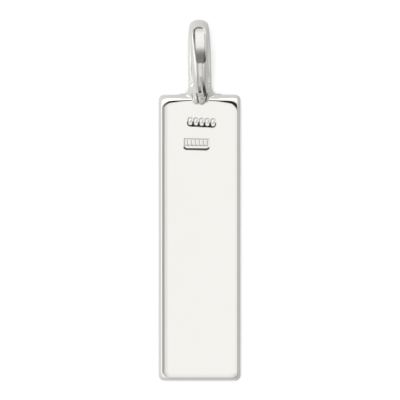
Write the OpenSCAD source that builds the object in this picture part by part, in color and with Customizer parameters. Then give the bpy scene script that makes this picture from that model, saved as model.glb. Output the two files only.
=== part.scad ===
// Bar pendant with an enamelled front and a fixed open-back bail.
// It lies on its front face: X runs across the bar, +Y runs towards the bail
// and +Z comes out of the plain back. z = 0 is the plane it rests on, and the
// origin is under the middle of the whole outline.

/* [Bar] */
// Width of the bar
bar_w = 8; // [6:0.1:12]
// Length of the bar, without the bail
bar_len = 28; // [20:0.5:40]
// Thickness of the bar
bar_t = 1.5; // [1.4:0.05:2]
// Radius of the bar's four corners, seen from the back
corner_r = 0.45; // [0.2:0.05:1]
// Radius of the worn edges round the back
back_edge_r = 0.45; // [0.2:0.05:0.5]
// Radius of the edges round the front
front_edge_r = 0.2; // [0.1:0.05:0.3]

/* [Enamel] */
// Width of the metal rim round the enamel
rim_w = 0.7; // [0.5:0.05:1.5]
// Depth of the tray that holds the enamel
tray_depth = 0.6; // [0.4:0.05:0.7]
// How far the enamel's face lies below the rim
enamel_sink = 0.06; // [0.02:0.01:0.1]
// Hairline gap between enamel and metal
enamel_gap = 0.04; // [0.02:0.01:0.08]
// Radius of the tray's corners
tray_corner_r = 0.4; // [0.2:0.05:0.8]

/* [Bail] */
// Height of the bail above the bar's top edge
bail_rise = 7.4; // [6:0.1:9]
// Half length of the bail's drop, along its own tilted axis
bail_half_len = 3.86; // [3.4:0.02:4.2]
// Depth of the bail's back limb from that axis
bail_half_depth = 2.03; // [1.8:0.02:2.3]
// Height of the axis's middle above the front
bail_mid_z = 2.1; // [1.9:0.05:2.4]
// Depth of the front limb from that axis, at its middle
front_depth = 1.78; // [1.6:0.02:2]
// Rise of the front limb towards the bar, for each unit of length
front_rise = 0.365; // [0.2:0.005:0.45]
// Least depth of the front limb, near the bar
front_least = 1.15; // [1:0.05:1.6]
// How far the bail's foot reaches below the bar's top edge
bail_foot = 0.4; // [0.3:0.05:0.6]
// Thickness of the bail's metal at its top and foot
bail_wall_end = 0.74; // [0.6:0.02:1]
// Thickness of the bail's metal at the front and back
bail_wall_side = 0.75; // [0.6:0.05:0.9]
// Angle by which the bail's axis leans towards the back
bail_pitch = 8; // [0:1:12]
// Fullness of the drop outside: 2 is an ellipse, and more is squarer
full_out = 2.2; // [2:0.1:3]
// Fullness of the drop inside
full_in = 4; // [2:0.5:5]
// Fullness outside at the front limb's far end
far_full_out = 2.5; // [2:0.1:3]
// Fullness inside at the front limb's far end
far_full_in = 5; // [2:0.5:6]
// Angle by which the bail leans sideways
bail_lean = 1.2; // [-3:0.1:3]
// Sideways place of the bail's foot
bail_foot_x = 0.08; // [-0.5:0.01:0.5]
// Radius of the solder fillets beside the foot
fillet_r = 0.7; // [0.3:0.05:0.8]

/* [Window in the bail's back] */
// Width of the window at its round top
window_w = 0.96; // [0.8:0.02:1.1]
// Metal between the bail's top and the window
window_top = 0.72; // [0.6:0.02:1]
// Length of the window's stretch of full width
window_straight = 2.4; // [1:0.1:3]
// Length of the whole window
window_len = 3.56; // [3:0.02:4.5]
// Width of the window's flat lower end
window_end_w = 0.72; // [0.4:0.02:0.9]
// Depth of the groove that runs on from the window
groove_depth = 0.2; // [0.1:0.05:0.4]

/* [Solder] */
// Radius of the solder boss on the back
boss_r = 0.8; // [0.6:0.05:1]
// Distance of the boss's centre below the bar's top edge
boss_drop = 0.1; // [0:0.05:0.3]
// Radius of the round web that fills the lower end of the bail's eye
web_r = 0.8; // [0.6:0.02:1.1]
// Distance of the web's centre above the bar's top edge
web_rise = 0.5; // [0.3:0.05:1]
// Height of the web's centre above the front
web_at = 1.5; // [1:0.05:1.8]

/* [Marks] */
// Depth of the punched marks
mark_depth = 0.07; // [0.04:0.01:0.15]
// Length of the upper mark
pip_mark_l = 2.8; // [1.5:0.1:3.5]
// Height of the upper mark
pip_mark_h = 0.95; // [0.5:0.05:1.2]
// Number of round pips in the upper mark
pip_count = 5; // [3:1:6]
// Length of the lower mark
bar_mark_l = 2.5; // [1.5:0.1:3.5]
// Height of the lower mark
bar_mark_h = 1.05; // [0.5:0.05:1.2]
// Number of plain bars in the lower mark
bar_count = 6; // [3:1:8]

/* [Hidden] */
$fn = 64;
// Small overlap that keeps cuts and joins clear of each other
eps = 0.02;
total_len = bar_len + bail_rise;
bar_top = total_len / 2 - bail_rise;
bar_mid = bar_top - bar_len / 2;

// Middle of the bail's drop, in the plane across X
drop_c = [bar_top - bail_foot + (bail_rise + bail_foot) / 2, bail_mid_z];
// Softness of the bend where the front limb reaches its least depth
front_soft = 0.2;

// Half width of the bail's band round the drop: [angle from the top, half width].
// Angles below zero are the front limb, and those above are the back limb.
band_half_w = [
    [-172, 1.16],
    [-90, 1.12],
    [-60, 1.07],
    [-40, 0.97],
    [-20, 0.88],
    [0, 0.85],
    [30, 0.87],
    [75, 0.91],
    [98, 0.88],
    [116, 0.83],
    [128, 0.76],
    [138, 0.66],
    [150, 0.56],
    [172, 0.52]
];
band_first = -172;
band_last = 172;
band_step = 8;
// Sides of the band's cross section
section_n = 16;
// Share of the wall that the band's thin edge keeps, under the dome
edge_share = 0.22;

// Half width of the groove: [distance below the window's top, half width]
groove_half_w = [
    [3.5, 0.36],
    [4.8, 0.3],
    [5.6, 0.24],
    [6.35, 0.12]
];
groove_first = 88;
groove_last = 136;
groove_step = 6;
// Corners of the groove's cross section
groove_n = 8;
// Sideways place of the groove
groove_x = 0.07;

// Height of the solder fillets, between front and back: [low z, high z]
fillet_z = [0.5, 1.15];
// How far a fillet's arc dips under the edge that it meets
fillet_dip = 0.04;

// Places of the punched marks: [x, y below the bar's top edge, turn]
pip_mark_at = [0.2, 2.65, -3];
bar_mark_at = [-0.3, 4.8, -1];
// Metal between two pips, their corner radius, and the rise of the bars
pip_gap = 0.05;
pip_corner_r = 0.2;
bar_rise = 0.05;

// Shapes that repeat

module round_rect(w, l, r) {
    square([w - 2 * r, l], center = true);
    square([w, l - 2 * r], center = true);
    for (sx = [-1, 1], sy = [-1, 1])
        translate([sx * (w / 2 - r), sy * (l / 2 - r)])
            circle(r);
}

// Cross section of the bar, w wide, standing on the x axis
module bar_profile(w) {
    translate([-w / 2, front_edge_r])
        square([w, bar_t - front_edge_r - back_edge_r]);
    translate([-w / 2 + back_edge_r, bar_t / 2])
        square([w - 2 * back_edge_r, bar_t / 2]);
    translate([-w / 2 + front_edge_r, 0])
        square([w - 2 * front_edge_r, bar_t / 2]);
    for (s = [-1, 1]) {
        translate([s * (w / 2 - back_edge_r), bar_t - back_edge_r])
            circle(back_edge_r);
        translate([s * (w / 2 - front_edge_r), front_edge_r])
            circle(front_edge_r);
    }
}

// Solid through rings that all have the same number of points
module loft(rings) {
    n = len(rings[0]);
    last = (len(rings) - 1) * n;
    points = [for (ring = rings, p = ring) p];
    sides = [
        for (i = [0 : len(rings) - 2], j = [0 : n - 1], half = [0, 1])
            let (a = i * n + j, b = i * n + (j + 1) % n)
                half == 0 ? [a, b + n, b] : [a, a + n, b + n]
    ];
    ends = [[for (j = [0 : n - 1]) j], [for (j = [n - 1 : -1 : 0]) last + j]];
    polyhedron(points, concat(sides, ends));
}

// The bar

module bar_blank() {
    translate([0, bar_mid, 0])
        intersection() {
            linear_extrude(bar_t)
                round_rect(bar_w, bar_len, corner_r);
            rotate([90, 0, 0])
                linear_extrude(bar_len + 2, center = true)
                    bar_profile(bar_w);
            rotate([90, 0, 90])
                linear_extrude(bar_w + 2, center = true)
                    bar_profile(bar_len);
        }
}

module tray() {
    translate([0, bar_mid, -1])
        linear_extrude(tray_depth + 1)
            round_rect(bar_w - 2 * rim_w, bar_len - 2 * rim_w, tray_corner_r);
}

// The bail

// Depth of the front limb outside, at a place along the bail's axis
function front_at(u) =
    let (beyond = front_depth + front_rise * u - front_least)
    front_least + (beyond + norm([beyond, front_soft])) / 2;

// Point on the tilted drop, a wall's thickness inside its outline, as [y, z]
function on_drop(angle, wall_end, wall_side, full, far_full) =
    let (
        power = angle < 0 && angle > -90 ? far_full : full,
        reach = pow(pow(abs(cos(angle)), power) + pow(abs(sin(angle)), power), -1 / power),
        u = (bail_half_len - wall_end) * reach * cos(angle),
        deep = (angle < 0 ? front_at(u) : bail_half_depth) - wall_side,
        v = deep * reach * sin(angle)
    )
    [
        drop_c[0] + u * cos(bail_pitch) - v * sin(bail_pitch),
        drop_c[1] + u * sin(bail_pitch) + v * cos(bail_pitch)
    ];

function inside_at(angle) =
    on_drop(angle, bail_wall_end, bail_wall_side, full_in, far_full_in);
function outside_at(angle) = on_drop(angle, 0, 0, full_out, far_full_out);

// Point at a place across the band and at a share of its wall
function in_wall(x, angle, share) =
    let (inside = inside_at(angle), step = outside_at(angle) - inside)
    [x, inside[0] + step[0] * share, inside[1] + step[1] * share];

// Ring of the band: flat with soft edges inside, and domed outside
function band_ring(angle) =
    let (half_w = lookup(angle, band_half_w))
    [
        for (j = [0 : section_n - 1])
            let (
                t = 360 * j / section_n,
                rise = sin(t) >= 0 ? (1 - edge_share) * sin(t) : edge_share * sin(t)
            )
            in_wall(half_w * cos(t), angle, edge_share + rise)
    ];

// Ring of the groove's cut, a flattened round that reaches out past the band
function groove_ring(angle) =
    let (
        wall = norm(outside_at(angle) - inside_at(angle)),
        below = total_len / 2 - window_top - outside_at(angle)[0],
        half_w = lookup(below, groove_half_w),
        deep = groove_depth / wall
    )
    [
        for (j = [0 : groove_n - 1])
            let (t = 360 * (j + 0.5) / groove_n)
            in_wall(groove_x + half_w * cos(t) / cos(22.5), angle, 1 + deep * sin(t) / cos(22.5))
    ];

module band() {
    loft([for (angle = [band_first : band_step : band_last]) band_ring(angle)]);
}

module groove() {
    loft([for (angle = [groove_first : groove_step : groove_last]) groove_ring(angle)]);
}

// Outline of the window, seen from the back, with its top at the origin
module window_outline() {
    r = window_w / 2;
    translate([0, -r])
        circle(r);
    translate([-r, -window_straight])
        square([window_w, window_straight - r]);
    polygon([
        [-r, -window_straight],
        [-window_end_w / 2, -window_len],
        [window_end_w / 2, -window_len],
        [r, -window_straight]
    ]);
}

// Solder that fills the corners between the band's foot and the bar's top edge
module foot() {
    half_w = band_half_w[0][1] + fillet_r;
    translate([0, bar_top, fillet_z[0]])
        linear_extrude(fillet_z[1] - fillet_z[0])
            difference() {
                translate([-half_w, -fillet_r / 2])
                    square([2 * half_w, fillet_r * 1.5 - fillet_dip]);
                for (s = [-1, 1])
                    translate([s * half_w, fillet_r - fillet_dip])
                        circle(fillet_r);
            }
}

module bail() {
    translate([bail_foot_x, bar_top, 0])
        rotate([0, 0, bail_lean])
            translate([0, -bar_top, 0]) {
                difference() {
                    band();
                    translate([0, total_len / 2 - window_top, bail_mid_z])
                        linear_extrude(2 * bail_half_depth)
                            window_outline();
                    groove();
                }
                foot();
            }
}

module solder() {
    translate([bail_foot_x, bar_top - boss_drop, bar_t - eps])
        sphere(boss_r);
    translate([bail_foot_x, bar_top + web_rise, web_at])
        sphere(web_r);
}

// The punched marks: a row of sunk pips, and a sunk pad with plain raised bars

module pip_mark() {
    pitch = pip_mark_l / pip_count;
    linear_extrude(1)
        for (i = [0 : pip_count - 1])
            translate([pitch * (i - (pip_count - 1) / 2), 0])
                round_rect(pitch - pip_gap, pip_mark_h, pip_corner_r);
}

module bar_mark() {
    pitch = bar_mark_l / (bar_count + 1);
    difference() {
        linear_extrude(1)
            round_rect(bar_mark_l, bar_mark_h, bar_mark_h / 4);
        for (i = [0 : bar_count - 1])
            translate([pitch * (i - (bar_count - 1) / 2), 0, (bar_rise - eps) / 2])
                cube([pitch / 2, bar_mark_h * 0.6, bar_rise + eps], center = true);
    }
}

module mark_at(place) {
    translate([place[0], bar_top - place[1], bar_t - mark_depth])
        rotate([0, 0, place[2]])
            children();
}

// The pieces

module body() {
    color([0.86, 0.86, 0.84])
        union() {
            difference() {
                bar_blank();
                tray();
                mark_at(pip_mark_at) pip_mark();
                mark_at(bar_mark_at) bar_mark();
            }
            bail();
            solder();
        }
}

module enamel() {
    w = bar_w - 2 * (rim_w + enamel_gap);
    l = bar_len - 2 * (rim_w + enamel_gap);
    color([0.06, 0.14, 0.36])
        translate([0, bar_mid, enamel_sink])
            linear_extrude(tray_depth - enamel_gap - enamel_sink)
                round_rect(w, l, tray_corner_r - enamel_gap);
}

body();
enamel();
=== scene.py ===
# Looks of the enamelled bar pendant that lies on its front, with its plain back up.
# X runs across the bar, Y along it towards the bail, and Z up out of the back.
# Blender works in metres. The forms are written in millimetres, and MM turns them into metres.
import math

import bpy
import numpy as np
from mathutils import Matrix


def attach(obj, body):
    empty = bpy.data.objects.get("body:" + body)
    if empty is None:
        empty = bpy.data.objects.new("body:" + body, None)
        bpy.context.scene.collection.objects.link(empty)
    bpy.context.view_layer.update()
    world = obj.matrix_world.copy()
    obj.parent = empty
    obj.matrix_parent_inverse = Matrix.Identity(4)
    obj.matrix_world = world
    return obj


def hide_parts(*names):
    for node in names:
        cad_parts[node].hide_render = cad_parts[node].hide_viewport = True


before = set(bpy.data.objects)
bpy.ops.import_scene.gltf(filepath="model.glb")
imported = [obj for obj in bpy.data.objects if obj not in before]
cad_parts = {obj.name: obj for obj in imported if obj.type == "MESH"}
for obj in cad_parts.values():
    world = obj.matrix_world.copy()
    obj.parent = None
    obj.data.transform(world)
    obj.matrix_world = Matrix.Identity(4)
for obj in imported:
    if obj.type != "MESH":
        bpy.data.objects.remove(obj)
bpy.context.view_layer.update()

MM = 0.001

# Bar
BAR_W = 8.0
BAR_LEN = 28.0
BAR_T = 1.5
CORNER_R = 0.45
BACK_EDGE_R = 0.33
FRONT_EDGE_R = 0.2
BAIL_RISE = 7.4
BAR_TOP = (BAR_LEN + BAIL_RISE) / 2 - BAIL_RISE
BAR_MID = BAR_TOP - BAR_LEN / 2

# Soft fall of the polished back towards its edges: how far in it starts, and its strength
LEFT_FALL = (1.1, 0.19)
RIGHT_FALL = (0.8, 0.15)
LOW_FALL = (0.9, 0.1)
# The lower corners fall more: how far in from the side and from the low edge, and strength
CORNER_FALL = (1.1, 0.85, 0.4)

# The top edge rolls over in an arch: where the roll starts, its radius, and the arch's bow
ARCH_START = 0.68
ARCH_R = 0.69
ARCH_BOW = 0.03
# The roll is gentler towards the corners: side of the bar, from and to this far out, share
GENTLE = ((1, 1.4, 3.6, 1.0), (1, 3.0, 4.0, 0.9), (-1, 1.0, 3.4, 0.6))
GENTLE_START = 0.37
GENTLE_R = 1.6

# Tray and enamel
RIM_W = 0.7
TRAY_DEPTH = 0.6
TRAY_CORNER_R = 0.4
TRAY_EDGE_R = 0.05
ENAMEL_SINK = 0.06
ENAMEL_GAP = 0.04
ENAMEL_DIP = 0.045
ENAMEL_FACE_R = 0.09
ENAMEL_BACK_R = 0.03

# Bail: a tilted drop of a band. Y is counted from the bar's top edge, and Z from the front
BAIL_FOOT = 0.4
BAIL_MID_Y = (BAIL_RISE - BAIL_FOOT) / 2
BAIL_MID_Z = 2.1
PITCH = math.radians(8)
LEAN = math.radians(1.2)
FOOT_X = 0.08
WALL_END = 0.74
WALL_SIDE = 0.75
WALL_LEAST = 0.3
# Half length and half depth of its outside, and how full it is: 2 is an ellipse, more is squarer.
# The front's quarter at the far end has its own fullness
HALF_LEN = 3.845
HALF_DEPTH = 2.01
FULL_OUT = 2.2
FULL_IN = 4.0
FAR_FULL_OUT = 2.5
FAR_FULL_IN = 10.0
# The front limb rises towards the bar: depth at the middle, rise, and least depth with its bend
FRONT_DEPTH = 1.78
FRONT_RISE = 0.365
FRONT_LEAST = 1.15
FRONT_SOFT = 0.2
# Its inner face is nearly level where it is deep, and follows the outside where it isn't
FRONT_LEVEL = 2.36
FRONT_LEVEL_SHARE = 0.25
FRONT_LEVEL_SOFT = 0.2
FRONT_STEEP = 1.03
# Section of the band: height of its straight rims as a share of the wall, and edge radius,
# on the back limb and on the front limb, and the stretch over which the two blend
EDGE_SHARE = (0.22, 0.28)
RIM_R = (0.15, 0.3)
LIMB_BLEND = 0.6
# Half width of the band, by degrees round it: 0 is its far end, and 90 is its back
BAND_HALF_W = {
    -180: 0.66, -166: 0.92, -150: 1.12, -90: 1.12, -60: 1.07, -40: 0.97, -20: 0.88,
    0: 0.84, 30: 0.87, 75: 0.91, 98: 0.88, 116: 0.83, 128: 0.76, 138: 0.66,
    150: 0.56, 164: 0.55, 180: 0.66,
}
BACK_SWAY = 0.08
BACK_SWAY_ANGLES = (80, 140)

# Window through the bail's back. Places along it are counted from its top
WINDOW_TOP = 0.72
WINDOW_R = 0.48
WINDOW_LEN = 3.56
WINDOW_END_R = 0.08
WINDOW_SKEW = (0.17, -0.2)
TWIST_FROM = 1.8
TWIST_TO = 2.8
TWIST_TURN = 2.8
TWIST_SHIFT = 0.11
SLOT_HALF_W = {0: 0.48, 2.4: 0.48, 3.45: 0.38, 3.8: 0.28, 4.8: 0.26, 5.6: 0.24, 6.35: 0.1, 9: 0.1}
ARM_ROUND = 0.1

# Groove that runs on from the window, with a channel along its left and its right side:
# the middle line of each, and its radius
GROOVE_LEN = 6.3
GROOVE_DEPTH = 0.16
GROOVE_SHIFT = 0.1
GROOVE_FULL = 3.5
GROOVE_END_R = 0.1
GROOVE_BLEND = 0.05
LEFT_CHANNEL = {3.5: -0.14, 5: -0.12, 6.5: -0.03}
LEFT_CHANNEL_R = {3.5: 0.1, 5: 0.11, 5.8: 0.15, 6.5: 0.12}
RIGHT_CHANNEL = {2: 0.48, 3.3: 0.46, 3.6: 0.34, 5: 0.3, 6: 0.37, 6.75: 0.5}
RIGHT_CHANNEL_R = {3.5: 0.05, 5: 0.06, 6: 0.13, 6.75: 0.14}
CHANNELS = ((LEFT_CHANNEL, LEFT_CHANNEL_R), (RIGHT_CHANNEL, RIGHT_CHANNEL_R))
CHANNEL_FLAT = 0.6
CHANNEL_BLEND = 0.03

# Painted shade on the bail: how much of it there is along each line
LEFT_SHADE = {3.6: 0, 3.8: 0.4, 5.1: 0.4, 6: 1, 6.5: 1, 6.7: 0}
RIGHT_SHADE = {2: 0, 2.6: 1.15, 3.5: 1.15, 3.7: 0.3, 5.1: 0.3, 6: 1, 6.75: 1, 6.95: 0}
WALL_LINE = {0: -0.2, 0.25: -0.4, 0.6: -0.47, 2.4: -0.44}
WALL_SHADE = {0.05: 0, 0.15: 0.7, 0.3: 1.15, 1: 0.9, 2.1: 0.8, 2.6: 0}
# In the window it starts under the rim, whose height is given along the window
WINDOW_RIM_Z = {0: 3.65, 0.4: 3.86, 0.9: 4.04, 1.4: 4.08}
SHADE_UNDER_RIM = 0.1
SHADE_LEAST_Z = 2.0
SHADE_FULL_W = 0.1
SHADE_END_W = 0.2
RIGHT_BLACK = 0.85
LEFT_GREY = 0.855

# Boss of solder on the back, with two creases: their place on the bar's top edge, and lean
BOSS_R = 0.8
BOSS_DROP = 0.1
BOSS_FULL = 2.5
BOSS_CREASES = ((-0.27, 0.22), (0.72, -0.2))
CREASE_DEPTH = 0.1
CREASE_W = 0.13
# Painted shade in the creases: how black and how grey, and the height and reach on the boss where it lies
CREASE_BLACK = 0.4
CREASE_GREY = 0.95
CREASE_SHADE_Z = BAR_T + 0.12
CREASE_SHADE_REACH = 1.0

# Web of solder that fills the foot of the bail's eye, and a low fill round it
WEB_HALF = (0.75, 0.85, 0.8)
WEB_RISE = 0.5
WEB_AT = 1.5
FILL_HALF = (1.15, 0.75, 0.5)
FILL_RISE = 0.12
FILL_AT = 0.98
FILL_BLEND = 0.35
BOSS_BLEND = 0.12

# Flare of solder on both sides of the bail's foot, on the bar's top edge
FLARE_R = 0.72
FLARE_HALF = 1.1
FLARE_DROP = 1.2
FLARE_AT = 0.8
FLARE_HALF_T = 0.35
FLARE_EDGE_R = 0.25
FLARE_BLEND = 0.25

# Fillets that shrink with height: low and high radius, and the heights between which they do
BAR_FILLET = (0.4, 0.12, 0.9, 1.35)
BAIL_FILLET = (0.35, 0.1, 1.6, 2.3)

# Two plain stamped marks: x, distance below the bar's top, turn in degrees
MARK_DEPTH = 0.07
MARK_CORNER_R = 0.3
# A row of sunk round pips. Each form in a row is a share of the pitch, half height, corner radius
PIP_MARK_AT = (0.2, 2.65, -3)
PIP_MARK_HALF = (1.4, 0.48)
PIP_COUNT = 5
PIP_FORM = (0.94, 0.42, 0.22)
CORE_FORM = (0.36, 0.14, 0.08)
CORE_RISE = 0.06
CORE_HEIGHT_SHARE = 0.7
# A sunk pad, cut off straight at its top, with a row of upright bars that stand in it
BAR_MARK_AT = (-0.3, 4.8, -1)
BAR_MARK_HALF = (1.25, 0.54)
BAR_MARK_CUT = 0.1
BAR_COUNT = 6
BAR_ROW_HALF = 1.17
BAR_FORM = (0.42, 0.26, 0.08)
BAR_RISE = 0.12
BAR_HEIGHT_SHARE = 0.8

# How far in front of a face others count as close, for the painted shade in corners and for the painted
# shade and softer finish of the inside
HOLLOW_REACH = (0.12, 0.3, 0.6)
INSIDE_REACH = (1.6, 2.2)

# Grid for each piece: stretches of lines from, to and spacing, finer where its form is finer
BODY_GRID = (
    ((-4.12, -3.3, 0.06), (-3.3, -1.7, 0.08), (-1.7, 1.7, 0.055), (1.7, 3.3, 0.08), (3.3, 4.12, 0.06)),
    ((-17.82, -16.5, 0.06), (-16.5, 4.8, 0.45), (4.8, 8.4, 0.055), (8.4, 10.7, 0.06), (10.7, 17.82, 0.07)),
    ((-0.09, 4.25, 0.06),),
)
ENAMEL_GRID = (
    ((-3.35, -2.2, 0.05), (-2.2, 2.2, 0.4), (2.2, 3.35, 0.05)),
    ((-17.1, -15.9, 0.05), (-15.9, 8.5, 0.5), (8.5, 9.7, 0.05)),
    ((-0.04, 0.66, 0.05),),
)
STEP_REACH = 0.06
RELAX_ROUNDS = 2

# Camera: width of the photographed field, focal length and sensor, and its offset in X
PHOTO_MM = 39.3
LENS = 900
SENSOR = 36
CAMERA_X = 0.04

# Floor and its lamp, in metres and watts
FLOOR_HALF = 1.5
LAMP_HEIGHT = 1.2
LAMP_SIZE = 0.7
LAMP_POWER = 9.8
STUDIO_STRENGTH = 0.945


def rounded_max(a, b, r):
    """Intersection of two distance fields, with its edge rounded to radius r."""
    u = np.maximum(a + r, 0)
    v = np.maximum(b + r, 0)
    return np.minimum(np.maximum(a, b), -r) + np.hypot(u, v)


def rounded_min(a, b, r):
    """Union of two distance fields, with a fillet of radius r."""
    return -rounded_max(-a, -b, r)


def round_rect(x, y, half_w, half_l, r):
    """Distance to a rectangle with round corners."""
    qx = np.abs(x) - half_w + r
    qy = np.abs(y) - half_l + r
    outside = np.hypot(np.maximum(qx, 0), np.maximum(qy, 0))
    return outside + np.minimum(np.maximum(qx, qy), 0) - r


def oval_distance(u, v, a, b, power):
    """First-order distance to a full oval, below zero inside."""
    pu, pv = np.abs(u / a), np.abs(v / b)
    k = np.maximum((pu**power + pv**power) ** (1 / power), 1e-6)
    slope = np.hypot(pu ** (power - 1) / a, pv ** (power - 1) / b) * k ** (1 - power)
    return (k - 1) / np.maximum(slope, 1e-6)


def ellipsoid(x, y, z, half):
    """First-order distance to an ellipsoid about the origin."""
    k = np.sqrt((x / half[0]) ** 2 + (y / half[1]) ** 2 + (z / half[2]) ** 2)
    slope = np.sqrt((x / half[0] ** 2) ** 2 + (y / half[1] ** 2) ** 2 + (z / half[2] ** 2) ** 2)
    return (k - 1) * np.maximum(k, 1e-6) / np.maximum(slope, 1e-6)


def smooth_step(edge0, edge1, x):
    """0 at edge0, 1 at edge1, and soft between them, in either order."""
    t = np.clip((x - edge0) / (edge1 - edge0), 0, 1)
    return t * t * (3 - 2 * t)


def soft_ramp(x, soft):
    """0 where x is low and x where it is high, with a soft bend between."""
    return 0.5 * (x + np.hypot(x, soft))


def read(table, places):
    """A short table, read at each place."""
    return np.interp(places, list(table), list(table.values()))


def smooth_table(table, first, last, step, spread):
    """A short table made into a fine and soft curve: its places and its values."""
    places = np.arange(first, last + step / 2, step)
    reach = int(3 * spread / step)
    kernel = np.exp(-0.5 * (np.arange(-reach, reach + 1) * step / spread) ** 2)
    padded = np.pad(read(table, places), reach, mode="edge")
    return places, np.convolve(padded, kernel / kernel.sum(), mode="valid")


BAND_CURVE = smooth_table(BAND_HALF_W, -180, 180, 1.0, 7.0)
SLOT_CURVE = smooth_table(SLOT_HALF_W, 0, 9, 0.05, 0.25)


def bail_frame(x, y):
    """Place across the leaning bail, and along it from the bar's top edge."""
    c, s = math.cos(LEAN), math.sin(LEAN)
    return (x - FOOT_X) * c + (y - BAR_TOP) * s, (y - BAR_TOP) * c - (x - FOOT_X) * s


def drop_frame(yb, z):
    """Place along the bail's tilted axis and out of it, from the drop's middle."""
    dy, dz = yb - BAIL_MID_Y, z - BAIL_MID_Z
    c, s = math.cos(PITCH), math.sin(PITCH)
    return dy * c + dz * s, -dy * s + dz * c


def drop_walls(u, v):
    """Distances to the drop's inside and outside, and degrees round its middle line."""
    front = v < 0
    far_quarter = front & (u > 0)
    front_b = FRONT_LEAST + soft_ramp(FRONT_DEPTH + FRONT_RISE * u - FRONT_LEAST, FRONT_SOFT)
    short = FRONT_LEVEL - front_b
    bend = (FRONT_STEEP - FRONT_LEVEL_SHARE) * soft_ramp(short, FRONT_LEVEL_SOFT)
    level_b = FRONT_LEVEL - FRONT_LEVEL_SHARE * short - bend
    outer_a, outer_b = HALF_LEN, np.where(front, front_b, HALF_DEPTH)
    inner_a, inner_b = outer_a - WALL_END, np.where(front, level_b, HALF_DEPTH) - WALL_SIDE
    d_in = oval_distance(u, v, inner_a, inner_b, np.where(far_quarter, FAR_FULL_IN, FULL_IN))
    d_out = oval_distance(u, v, outer_a, outer_b, np.where(far_quarter, FAR_FULL_OUT, FULL_OUT))
    mid_a, mid_b = (inner_a + outer_a) / 2, (inner_b + outer_b) / 2
    return d_in, d_out, np.degrees(np.arctan2(v / mid_b, u / mid_a))


def band_field(xb, v, d_in, d_out, angle):
    """The band: a dome outside, straight rims, and a flat inside with round edges."""
    wall = np.maximum(d_in - d_out, WALL_LEAST)
    half_w = np.interp(angle, *BAND_CURVE)
    sideways = xb - BACK_SWAY * smooth_step(*BACK_SWAY_ANGLES, angle)
    frontness = smooth_step(0, -LIMB_BLEND, v)
    rim = wall * (EDGE_SHARE[0] + (EDGE_SHARE[1] - EDGE_SHARE[0]) * frontness)
    w = np.abs(sideways) / half_w
    h = np.maximum(d_in - rim, 0) / (wall - rim)
    k = np.maximum(np.hypot(w, h), 1e-6)
    slope = np.hypot(w / half_w, h / (wall - rim))
    dome = (k - 1) * k / np.maximum(slope, 1e-6)
    return rounded_max(dome, -d_in, RIM_R[0] + (RIM_R[1] - RIM_R[0]) * frontness)


def window_field(xb, depth, below):
    """The window, which drifts a little on its way through the back and twists near its end."""
    twist = smooth_step(TWIST_FROM, TWIST_TO, depth)
    xw = xb - WINDOW_SKEW[0] * (1 - TWIST_TURN * twist) * below - TWIST_SHIFT * twist
    side = np.abs(xw) - np.interp(depth, *SLOT_CURVE)
    cap = np.hypot(xw, depth - WINDOW_R) - WINDOW_R
    window = np.where(depth < WINDOW_R, cap, side)
    return rounded_max(window, depth - WINDOW_LEN, WINDOW_END_R)


def groove_field(xb, depth, under):
    """The shallow groove below the window, with a deeper channel along each side of it."""
    half_w = np.interp(depth, *SLOT_CURVE)
    w = np.abs((xb - GROOVE_SHIFT) / half_w)
    h = under / GROOVE_DEPTH
    groove = ((w**GROOVE_FULL + h**GROOVE_FULL) ** (1 / GROOVE_FULL) - 1) * half_w
    groove = rounded_max(groove, depth - GROOVE_LEN, GROOVE_END_R)
    for line, radius in CHANNELS:
        channel = np.hypot(xb - read(line, depth), under * CHANNEL_FLAT) - read(radius, depth)
        channel = rounded_max(channel, depth - max(line), GROOVE_END_R)
        groove = rounded_min(groove, channel, CHANNEL_BLEND)
    return np.maximum(groove, WINDOW_LEN - WINDOW_END_R - depth)


def bail_field(x, y, z):
    """The bail's band, with its window and groove cut into the back limb alone."""
    xb, yb = bail_frame(x, y)
    u, v = drop_frame(yb, z)
    d_in, d_out, angle = drop_walls(u, v)
    band = band_field(xb, v, d_in, d_out, angle)
    below = np.clip(-d_out, 0, 1)
    depth = BAIL_RISE - WINDOW_TOP - yb + WINDOW_SKEW[1] * below
    window = np.maximum(window_field(xb, depth, below), BAIL_MID_Z - z)
    groove = np.maximum(groove_field(xb, depth, np.maximum(-d_out, 0)), BAIL_MID_Z - z)
    return rounded_max(band, -rounded_min(window, groove, GROOVE_BLEND), ARM_ROUND)


def fall(inwards, start, strength):
    """Height lost near an edge, at places this far inwards from it."""
    return strength * np.clip(start - inwards, 0, None) ** 2


def roll(inwards, start, r):
    """Height lost where a round edge of radius r starts this far inwards."""
    over = np.clip(start - inwards, 0, 0.999 * r)
    return r - np.sqrt(r * r - over * over)


def pillow(x, y):
    """How far the polished back falls away towards its edges."""
    left = BAR_W / 2 + x
    right = BAR_W / 2 - x
    low = y - (BAR_TOP - BAR_LEN)
    drop = fall(left, *LEFT_FALL) + fall(right, *RIGHT_FALL) + fall(low, *LOW_FALL)
    side_in, low_in, strength = CORNER_FALL
    corner = np.clip(side_in - np.minimum(left, right), 0, None) * np.clip(low_in - low, 0, None)
    drop = drop + strength * corner**2
    gentle = sum(share * smooth_step(near, far, side * x) for side, near, far, share in GENTLE)
    bow = ARCH_BOW * x**2
    start = ARCH_START + bow + GENTLE_START * gentle
    return drop + roll(BAR_TOP - y, start, ARCH_R + bow + GENTLE_R * gentle)


def mark_frame(x, y, place):
    """Coordinates of a mark's own, from its middle."""
    turn = math.radians(place[2])
    dx = x - place[0]
    dy = y - (BAR_TOP - place[1])
    return dx * math.cos(turn) + dy * math.sin(turn), dy * math.cos(turn) - dx * math.sin(turn)


def mark_cells(px, py, half_l, count, form):
    """Distance to a row of small upright forms, in a mark's own coordinates."""
    fill, half_h, r = form
    pitch = 2 * half_l / count
    shift = 0.5 * (count - 1)
    nearest = np.clip(np.round(px / pitch + shift), 0, count - 1) - shift
    return round_rect(px - nearest * pitch, py, fill * pitch / 2, half_h, r)


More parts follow.
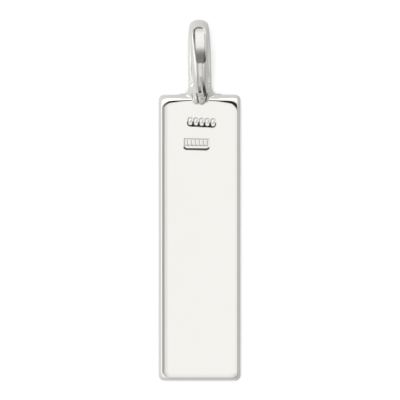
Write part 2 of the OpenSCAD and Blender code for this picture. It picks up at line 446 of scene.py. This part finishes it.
def pip_mark(x, y):
    """Sink and painted shade of the upper mark. The painted shade lies along its foot and between the
    pips.
    """
    px, py = mark_frame(x, y, PIP_MARK_AT)
    cells = mark_cells(px, py, PIP_MARK_HALF[0], PIP_COUNT, PIP_FORM)
    cores = mark_cells(px, py - CORE_RISE, PIP_MARK_HALF[0], PIP_COUNT, CORE_FORM)
    raised = CORE_HEIGHT_SHARE * smooth_step(0.05, -0.06, cores)
    sink = MARK_DEPTH * (smooth_step(0.02, -0.12, cells) - raised)
    pad = round_rect(px, py, *PIP_MARK_HALF, MARK_CORNER_R)
    # Painted shade along the foot of the sunk pad and in the seams between the pips
    foot = smooth_step(0.09, 0.04, np.abs(cells - 0.02)) * smooth_step(-0.26, -0.34, py)
    seams = smooth_step(-0.1, -0.03, cells) * smooth_step(0.1, -0.12, py)
    return sink, np.maximum(foot, seams) * smooth_step(0.05, 0, pad)


def bar_mark(x, y):
    """Sink and painted shade of the lower mark. The painted shade lies along its foot and below the bars.
    """
    px, py = mark_frame(x, y, BAR_MARK_AT)
    half_w, half_h = BAR_MARK_HALF
    pad = round_rect(px, py - BAR_MARK_CUT, half_w, half_h + BAR_MARK_CUT, MARK_CORNER_R)
    pad = np.maximum(pad, py - half_h)
    bars = mark_cells(px, py - BAR_RISE, BAR_ROW_HALF, BAR_COUNT, BAR_FORM)
    raised = BAR_HEIGHT_SHARE * smooth_step(0.05, -0.05, bars)
    sink = MARK_DEPTH * (smooth_step(0.02, -0.12, pad) - raised)
    # Painted shade along the foot of the pad and in the pits below the bars
    foot = smooth_step(0.12, 0.06, np.abs(pad + 0.02)) * smooth_step(-0.25, -0.4, py)
    pits = smooth_step(0.02, 0.08, bars) * smooth_step(0.09, 0.03, np.abs(py + 0.14))
    return sink, np.maximum(foot, 0.7 * pits * smooth_step(-0.1, -0.16, pad))


def creases(x, y):
    """Two folds that run down the boss of solder, 1 in their middle."""
    down = BAR_TOP - y
    fold = 0
    for start, lean in BOSS_CREASES:
        fold = fold + np.exp(-(((x - start - lean * down) / CREASE_W) ** 2))
    return fold * smooth_step(-0.35, -0.1, down)


def boss_field(x, y, z):
    """The boss on the back, with the web and the low fill of solder beside it."""
    bx, by = np.abs(x - FOOT_X), np.abs(y - BAR_TOP + BOSS_DROP)
    plan = (bx**BOSS_FULL + by**BOSS_FULL) ** (1 / BOSS_FULL)
    boss = np.hypot(plan, z - BAR_T) - BOSS_R + CREASE_DEPTH * creases(x, y)
    web = ellipsoid(x - FOOT_X, y - BAR_TOP - WEB_RISE, z - WEB_AT, WEB_HALF)
    fill = ellipsoid(x - FOOT_X, y - BAR_TOP - FILL_RISE, z - FILL_AT, FILL_HALF)
    return rounded_min(boss, rounded_min(web, fill, FILL_BLEND), BOSS_BLEND)


def flare_field(x, y, z):
    """The flare that runs out along the bar's top edge in a hollow curve on both sides."""
    fx = np.abs(x - FOOT_X) - FLARE_HALF - FLARE_R
    fy = y - BAR_TOP - FLARE_R
    box = np.maximum(fx, np.maximum(fy, -fy - FLARE_DROP))
    flare = np.maximum(FLARE_R - np.hypot(fx, fy), box)
    return rounded_max(flare, np.abs(z - FLARE_AT) - FLARE_HALF_T, FLARE_EDGE_R)


def fillet(z, low_r, high_r, low_z, high_z):
    """Radius of a fillet that shrinks with height."""
    return low_r + (high_r - low_r) * smooth_step(low_z, high_z, z)


def body_field(x, y, z):
    """The silver body: bar, bail and solder, with the tray in its front."""
    plan = round_rect(x, y - BAR_MID, BAR_W / 2, BAR_LEN / 2, CORNER_R)
    back = z - (BAR_T - pillow(x, y) - (pip_mark(x, y)[0] + bar_mark(x, y)[0]))
    bar = rounded_max(plan, back, BACK_EDGE_R)
    bar = rounded_max(bar, -z, FRONT_EDGE_R)
    bail = rounded_min(bail_field(x, y, z), boss_field(x, y, z), fillet(z, *BAIL_FILLET))
    bail = rounded_min(bail, flare_field(x, y, z), FLARE_BLEND)
    solid = rounded_min(bar, bail, fillet(z, *BAR_FILLET))
    tray = round_rect(x, y - BAR_MID, BAR_W / 2 - RIM_W, BAR_LEN / 2 - RIM_W, TRAY_CORNER_R)
    tray = rounded_max(tray, z - TRAY_DEPTH, TRAY_EDGE_R)
    return rounded_max(solid, -tray, TRAY_EDGE_R)


def enamel_field(x, y, z):
    """The enamel, which dips a little along its edge and creeps up again at the metal."""
    inset = RIM_W + ENAMEL_GAP
    plan = round_rect(x, y - BAR_MID, BAR_W / 2 - inset, BAR_LEN / 2 - inset, TRAY_CORNER_R)
    dip = ENAMEL_DIP * smooth_step(-0.9, -0.1, plan) * smooth_step(0.06, -0.1, plan)
    slab = rounded_max(plan, ENAMEL_SINK + dip - z, ENAMEL_FACE_R)
    return rounded_max(slab, z - (TRAY_DEPTH - ENAMEL_GAP), ENAMEL_BACK_R)


def shade_line(x, y, z, line, shares):
    """Painted shade along a line on the bail's back, and in the window only under its rim."""
    xb, yb = bail_frame(x, y)
    depth = BAIL_RISE - WINDOW_TOP - yb
    rim_z = read(WINDOW_RIM_Z, depth)
    under_rim = np.where(depth < WINDOW_LEN, smooth_step(rim_z, rim_z - SHADE_UNDER_RIM, z), 1)
    near = smooth_step(SHADE_END_W, SHADE_FULL_W, np.abs(xb - read(line, depth)))
    return near * under_rim * (z > SHADE_LEAST_Z) * read(shares, depth)


def body_painted_shade(points):
    """Painted shade in the marks, the groove, the window and the boss: how black, and how grey."""
    x, y, z = points.T
    # Painted shade along the groove's channels and the window's right wall
    left = shade_line(x, y, z, LEFT_CHANNEL, LEFT_SHADE)
    right = shade_line(x, y, z, RIGHT_CHANNEL, RIGHT_SHADE)
    right = np.maximum(right, shade_line(x, y, z, WALL_LINE, WALL_SHADE))
    black = np.maximum(pip_mark(x, y)[1], bar_mark(x, y)[1]) * (z > BAR_T / 2)
    black = np.maximum(black, RIGHT_BLACK * right)
    # Painted shade in the boss's creases
    on_boss = (z > CREASE_SHADE_Z) * (np.abs(y - BAR_TOP) < CREASE_SHADE_REACH)
    folds = smooth_step(0.4, 0.9, creases(x, y)) * on_boss
    black = np.maximum(black, CREASE_BLACK * folds)
    return black, np.maximum(CREASE_GREY * folds, LEFT_GREY * left)


def grid_lines(stretches):
    """Grid lines from stretches of (start, end, spacing), joined end to end."""
    lines = []
    for start, end, spacing in stretches:
        count = max(1, round((end - start) / spacing))
        lines += [start + (end - start) * i / count for i in range(count)]
    return np.array(lines + [stretches[-1][1]])


def gradient(field, p, h=1e-3):
    """Slope of the field at each point."""
    g = np.empty_like(p)
    for axis in range(3):
        q = [p[:, 0], p[:, 1], p[:, 2]]
        q[axis] = p[:, axis] + h
        high = field(*q)
        q[axis] = p[:, axis] - h
        g[:, axis] = (high - field(*q)) / (2 * h)
    return g


def onto_surface(field, p, rounds):
    """Moves points to the field's zero surface in a few short steps."""
    for _ in range(rounds):
        g = gradient(field, p)
        move = g * (field(p[:, 0], p[:, 1], p[:, 2]) / np.maximum((g * g).sum(1), 1e-4))[:, None]
        size = np.linalg.norm(move, axis=1, keepdims=True)
        p = p - move * np.minimum(1, STEP_REACH / np.maximum(size, 1e-9))
    return p


def relaxed(points, quads):
    """Evens out the quads. The points leave the surface a little and are put back later."""
    for _ in range(RELAX_ROUNDS):
        total = np.zeros_like(points)
        count = np.zeros(len(points))
        for i in range(4):
            a, b = quads[:, i], quads[:, (i + 1) % 4]
            np.add.at(total, a, points[b])
            np.add.at(total, b, points[a])
            np.add.at(count, a, 1)
            np.add.at(count, b, 1)
        points = points + 0.5 * (total / count[:, None] - points)
    return points


def settle(f):
    """Closes the few spots where the surface would touch itself along an edge."""
    for axis in (0, 1, 2, 0, 1, 2):
        g = np.moveaxis(f, axis, 0)
        inside = g < 0
        a, b = inside[:, :-1, :-1], inside[:, 1:, :-1]
        c, d = inside[:, 1:, 1:], inside[:, :-1, 1:]
        for k, i, j in np.argwhere((a == c) & (b == d) & (a != b)):
            corners = [(k, i + di, j + dj) for di in (0, 1) for dj in (0, 1)]
            nearest = min((corner for corner in corners if g[corner] >= 0), key=lambda q: g[q])
            g[nearest] = -1e-6


def crossed_cells(inside):
    """Which grid cells the surface runs through."""
    corner_sum = np.zeros(tuple(n - 1 for n in inside.shape), int)
    ends = (slice(None, -1), slice(1, None))
    for across in ends:
        for along in ends:
            for upward in ends:
                corner_sum += inside[across, along, upward]
    return (corner_sum > 0) & (corner_sum < 8)


def cell_points(f, cells, grid):
    """The mean place, in each cell, of where the surface crosses the cell's edges."""
    total = np.zeros((len(cells), 3))
    crossings = np.zeros(len(cells))
    for axis in range(3):
        others = [a for a in range(3) if a != axis]
        for i in (0, 1):
            for j in (0, 1):
                low = cells.copy()
                low[:, others[0]] += i
                low[:, others[1]] += j
                high = low.copy()
                high[:, axis] += 1
                f0, f1 = f[tuple(low.T)], f[tuple(high.T)]
                hit = (f0 < 0) != (f1 < 0)
                t = np.where(hit, f0 / np.where(hit, f0 - f1, 1), 0)
                point = np.stack([grid[a][low[:, a]] for a in range(3)], 1)
                point[:, axis] += t * (grid[axis][high[:, axis]] - grid[axis][low[:, axis]])
                total[hit] += point[hit]
                crossings += hit
    return total / crossings[:, None]


def crossing_quads(inside, index):
    """A quad for each grid edge that the surface crosses, facing outwards."""
    quads = []
    for axis in range(3):
        b, c = [(1, 2), (2, 0), (0, 1)][axis]
        low = [slice(None)] * 3
        high = [slice(None)] * 3
        low[axis], high[axis] = slice(None, -1), slice(1, None)
        edges = np.argwhere(inside[tuple(low)] != inside[tuple(high)])
        ok = (edges[:, b] > 0) & (edges[:, c] > 0)
        ok &= (edges[:, b] < inside.shape[b] - 1) & (edges[:, c] < inside.shape[c] - 1)
        edges = edges[ok]
        around = []
        for db, dc in ((-1, -1), (0, -1), (0, 0), (-1, 0)):
            cell = edges.copy()
            cell[:, b] += db
            cell[:, c] += dc
            around.append(index[tuple(cell.T)])
        quad = np.stack(around, 1)
        starts_inside = inside[tuple(edges.T)]
        quad[~starts_inside] = quad[~starts_inside][:, ::-1]
        quads.append(quad)
    return np.concatenate(quads)


def skin(field, grid):
    """Quads round the field's zero surface, one vertex in each grid cell that it crosses."""
    f = field(*np.meshgrid(*grid, indexing="ij"))
    settle(f)
    inside = f < 0
    active = crossed_cells(inside)
    cells = np.argwhere(active)
    index = np.full(active.shape, -1)
    index[active] = np.arange(len(cells))
    return cell_points(f, cells, grid), crossing_quads(inside, index)


def hollowness(field, points, normals, reaches):
    """0 out in the open, and more where other faces stand close in front."""
    total = np.zeros(len(points))
    for reach in reaches:
        q = points + normals * reach
        room = field(q[:, 0], q[:, 1], q[:, 2]) / reach
        total += np.clip(1 - room, 0, 1) / len(reaches)
    return total


def store(mesh, name, values):
    """Keeps a value for each of the mesh's points, for its material to read."""
    attribute = mesh.attributes.new(name, "FLOAT", "POINT")
    attribute.data.foreach_set("value", values)


def solid(name, field, stretches, painted_shade=None):
    """One closed piece with even quads, smooth normals and the values that its looks need."""
    points, quads = skin(field, [grid_lines(lines) for lines in stretches])
    points = onto_surface(field, points, 3)
    points = relaxed(points, quads)
    points = onto_surface(field, points, 4)
    normals = gradient(field, points)
    normals /= np.linalg.norm(normals, axis=1, keepdims=True)
    mesh = bpy.data.meshes.new(name)
    mesh.from_pydata((points * MM).tolist(), [], quads.tolist())
    mesh.validate()
    mesh.shade_smooth()
    mesh.normals_split_custom_set_from_vertices(normals.tolist())
    # Painted shade in corners: more where other faces stand close in front, raised by the grey share of
    # the painted shade lines
    hollow = hollowness(field, points, normals, HOLLOW_REACH)
    # Painted shade lines: the black share is kept on its own, and the grey share joins the painted corner
    # shade
    if painted_shade:
        black, grey = painted_shade(points)
        hollow = np.maximum(hollow, grey)
        store(mesh, "painted_black", black)
    store(mesh, "hollow", hollow)
    # Painted shade on covered faces inside the bail that look down; the same value also gives them a
    # softer finish
    covered = smooth_step(0.3, 0.6, hollowness(field, points, normals, INSIDE_REACH))
    store(mesh, "inside", covered * smooth_step(0.5, 0.1, normals[:, 2]))
    piece = bpy.data.objects.new(name, mesh)
    bpy.context.collection.objects.link(piece)
    return piece


def node(tree, kind, inputs=None, **settings):
    """A new shader node. Inputs that are sockets are linked, and others are set."""
    made = tree.nodes.new(kind)
    for name, value in settings.items():
        setattr(made, name, value)
    for name, value in (inputs or {}).items():
        if isinstance(value, bpy.types.NodeSocket):
            tree.links.new(value, made.inputs[name])
        else:
            made.inputs[name].default_value = value
    return made


def new_material(name):
    """A material, its node tree and its main shader."""
    material = bpy.data.materials.new(name)
    material.use_nodes = True
    tree = material.node_tree
    return material, tree, tree.nodes["Principled BSDF"]


def soft_range(tree, value, low, high, to_low=0.0, to_high=1.0):
    """Maps low to to_low and high to to_high, with soft ends."""
    made = node(tree, "ShaderNodeMapRange", {"Value": value, "From Min": low, "From Max": high})
    made.interpolation_type = "SMOOTHSTEP"
    made.inputs["To Min"].default_value = to_low
    made.inputs["To Max"].default_value = to_high
    return made.outputs["Result"]


def stored(tree, name):
    """A value that solid() keeps with the mesh."""
    return node(tree, "ShaderNodeAttribute", attribute_name=name).outputs["Fac"]


def tinted(tree, below, share, color):
    """Lays a colour over another, as far as share says."""
    inputs = {"Factor": share, "A": below, "B": color}
    return node(tree, "ShaderNodeMix", inputs, data_type="RGBA").outputs["Result"]


def add_bump(tree, shader, height, strength, distance):
    """Fine relief from a height, in metres at full strength."""
    bump = node(tree, "ShaderNodeBump", {"Height": height, "Strength": strength})
    bump.inputs["Distance"].default_value = distance
    tree.links.new(bump.outputs["Normal"], shader.inputs["Normal"])


def silver():
    """Polished silver, with painted shade in its corners, creases, marks and on the inside of its bail."""
    material, tree, shader = new_material("silver")
    place = node(tree, "ShaderNodeTexCoord").outputs["Object"]
    shader.inputs["Metallic"].default_value = 1.0
    cloud = node(tree, "ShaderNodeTexNoise", {"Vector": place, "Scale": 420, "Detail": 4})
    tint = node(tree, "ShaderNodeValToRGB", {"Fac": cloud.outputs["Fac"]})
    tint.color_ramp.elements[0].color = (0.945, 0.930, 0.885, 1)
    tint.color_ramp.elements[1].color = (0.965, 0.955, 0.925, 1)
    # Painted shade in the tightest corners, where other faces stand close in front
    corner_shade = soft_range(tree, stored(tree, "hollow"), 0.7, 1.0)
    color = tinted(tree, tint.outputs["Color"], corner_shade, (0.16, 0.155, 0.15, 1))
    inside = stored(tree, "inside")
    # Painted shade on the covered, downward faces inside the bail
    color = tinted(tree, color, inside, (0.34, 0.33, 0.32, 1))
    # Painted black shade along the marks' feet, the bail's channels, the window wall and the boss's
    # creases
    color = tinted(tree, color, stored(tree, "painted_black"), (0.02, 0.02, 0.02, 1))
    tree.links.new(color, shader.inputs["Base Color"])
    # Mirror polish outside, and the softer finish of the inside that no wheel reaches
    gloss = soft_range(tree, cloud.outputs["Fac"], 0.3, 0.7, 0.04, 0.08)
    softer = soft_range(tree, inside, 0, 1, 0, 0.26)
    rough = node(tree, "ShaderNodeMath", {0: gloss, 1: softer}, operation="ADD")
    tree.links.new(rough.outputs["Value"], shader.inputs["Roughness"])
    # Faint lines of the polishing wheel
    stretch = node(tree, "ShaderNodeMapping", {"Vector": place, "Scale": (9000, 350, 3000)})
    stretch.inputs["Rotation"].default_value = (0, 0, math.radians(7))
    lines = node(tree, "ShaderNodeTexNoise", {"Vector": stretch.outputs["Vector"], "Scale": 1})
    add_bump(tree, shader, lines.outputs["Fac"], 0.02, 0.05 * MM)
    return material


def enamel():
    """Deep blue glass with a faint cloudiness and a glossy, slightly uneven face."""
    material, tree, shader = new_material("enamel")
    place = node(tree, "ShaderNodeTexCoord").outputs["Object"]
    cloud = node(tree, "ShaderNodeTexNoise", {"Vector": place, "Scale": 260, "Detail": 5})
    tint = node(tree, "ShaderNodeValToRGB", {"Fac": cloud.outputs["Fac"]})
    tint.color_ramp.elements[0].position = 0.3
    tint.color_ramp.elements[1].position = 0.7
    tint.color_ramp.elements[0].color = (0.004, 0.018, 0.085, 1)
    tint.color_ramp.elements[1].color = (0.006, 0.028, 0.125, 1)
    tree.links.new(tint.outputs["Color"], shader.inputs["Base Color"])
    shader.inputs["Roughness"].default_value = 0.16
    shader.inputs["Coat Weight"].default_value = 1.0
    shader.inputs["Coat Roughness"].default_value = 0.03
    peel = node(tree, "ShaderNodeTexNoise", {"Vector": place, "Scale": 700, "Detail": 2})
    add_bump(tree, shader, peel.outputs["Fac"], 0.06, 0.03 * MM)
    return material


def plain(name, color, roughness):
    """A material of one colour."""
    material, _, shader = new_material(name)
    shader.inputs["Base Color"].default_value = (*color, 1)
    shader.inputs["Roughness"].default_value = roughness
    return material


def add_camera():
    """A camera straight above, as the photograph was taken."""
    data = bpy.data.cameras.new("camera")
    data.lens = LENS
    data.sensor_width = SENSOR
    camera = bpy.data.objects.new("camera", data)
    camera.location = (CAMERA_X * MM, 0, PHOTO_MM * LENS / SENSOR * MM)
    bpy.context.collection.objects.link(camera)
    bpy.context.scene.camera = camera


def add_floor():
    """A pale floor that the metal doesn't mirror."""
    mesh = bpy.data.meshes.new("floor")
    half = FLOOR_HALF
    corners = [(-half, -half, 0), (half, -half, 0), (half, half, 0), (-half, half, 0)]
    mesh.from_pydata(corners, [], [(0, 1, 2, 3)])
    mesh.materials.append(plain("floor", (0.95, 0.95, 0.95), 0.9))
    floor = bpy.data.objects.new("floor", mesh)
    floor.visible_glossy = False
    bpy.context.collection.objects.link(floor)


def add_floor_lamp():
    """A lamp for the floor alone, so that the metal mirrors only the studio."""
    light = bpy.data.lights.new("floor_lamp", "AREA")
    light.size = LAMP_SIZE
    light.energy = LAMP_POWER
    lamp = bpy.data.objects.new("floor_lamp", light)
    lamp.location = (0, 0, LAMP_HEIGHT)
    lamp.visible_glossy = False
    bpy.context.collection.objects.link(lamp)


add_camera()
add_floor()

# Studio: a soft dome overhead, a dark gap round it, light boxes below that, and pale walls
world = bpy.data.worlds.new("studio")
bpy.context.scene.world = world
world.use_nodes = True
sky = world.node_tree
way = node(sky, "ShaderNodeTexCoord").outputs["Generated"]


def sky_math(operation, a, b=0.0):
    """The result of one sum in the studio's nodes."""
    return node(sky, "ShaderNodeMath", {0: a, 1: b}, operation=operation).outputs["Value"]


split = node(sky, "ShaderNodeSeparateXYZ", {"Vector": way}).outputs
from_zenith = sky_math("DEGREES", sky_math("ARCCOSINE", split["Z"]))
flat_len = sky_math("SINE", sky_math("RADIANS", from_zenith))
side_x = sky_math("DIVIDE", split["X"], flat_len)
side_y = sky_math("DIVIDE", split["Y"], flat_len)


def fade(value, low, high):
    """0 below low and 1 above high, or the other way round where low is above high."""
    return soft_range(sky, value, low, high)


def patch(azimuth, tilt, inner, outer):
    """1 within inner degrees of a direction, fading to 0 at outer degrees."""
    turn, lean = math.radians(azimuth), math.radians(tilt)
    aim = (math.cos(turn) * math.sin(lean), math.sin(turn) * math.sin(lean), math.cos(lean))
    dot = node(sky, "ShaderNodeVectorMath", {0: way, 1: aim}, operation="DOT_PRODUCT")
    edge, full = math.cos(math.radians(outer)), math.cos(math.radians(inner))
    return fade(dot.outputs["Value"], edge, full)


def ring(start, full, hold, end):
    """1 between two angles from the zenith, in degrees, with soft edges."""
    return sky_math("MULTIPLY", fade(from_zenith, start, full), fade(from_zenith, end, hold))


def lit(below, mask, level):
    """Mixes a brightness over what is there, where the mask is."""
    return node(sky, "ShaderNodeMix", {"Factor": mask, "A": below, "B": level}).outputs["Result"]


def by_side(left, top, right, bottom):
    """A brightness that changes smoothly round the object."""
    base = 0.25 * (left + top + right + bottom)
    across = sky_math("MULTIPLY", side_x, (right - left) / 2)
    along = sky_math("MULTIPLY", side_y, (top - bottom) / 2)
    return sky_math("ADD", sky_math("ADD", across, along), base)


# Brightness to the left, top, right and bottom, and angles in degrees
walls = by_side(0.76, 0.72, 0.52, 0.62)
boxes = by_side(1.35, 1.35, 0.6, 0.45)
gap = lit(by_side(0.36, 0.1, 0.44, 0.85), patch(68, 31, 14, 34), 0.01)
dome = by_side(0.74, 1.05, 0.8, 0.9)
studio = lit(walls, ring(34, 40, 54, 62), boxes)
studio = lit(studio, ring(20, 26, 34, 39), gap)
studio = lit(studio, fade(from_zenith, 25, 20), dome)
studio = lit(studio, fade(from_zenith, 19, 5), 1.0)
sky.links.new(studio, sky.nodes["Background"].inputs["Color"])
sky.nodes["Background"].inputs["Strength"].default_value = STUDIO_STRENGTH
bpy.context.scene.view_settings.view_transform = "Standard"

add_floor_lamp()

# Silver body
body_piece = solid("silver_body", body_field, BODY_GRID, body_painted_shade)
body_piece.data.materials.append(silver())
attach(body_piece, "root")
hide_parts("body")

# Enamel
enamel_piece = solid("enamel_inlay", enamel_field, ENAMEL_GRID)
enamel_piece.data.materials.append(enamel())
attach(enamel_piece, "root")
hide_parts("enamel")
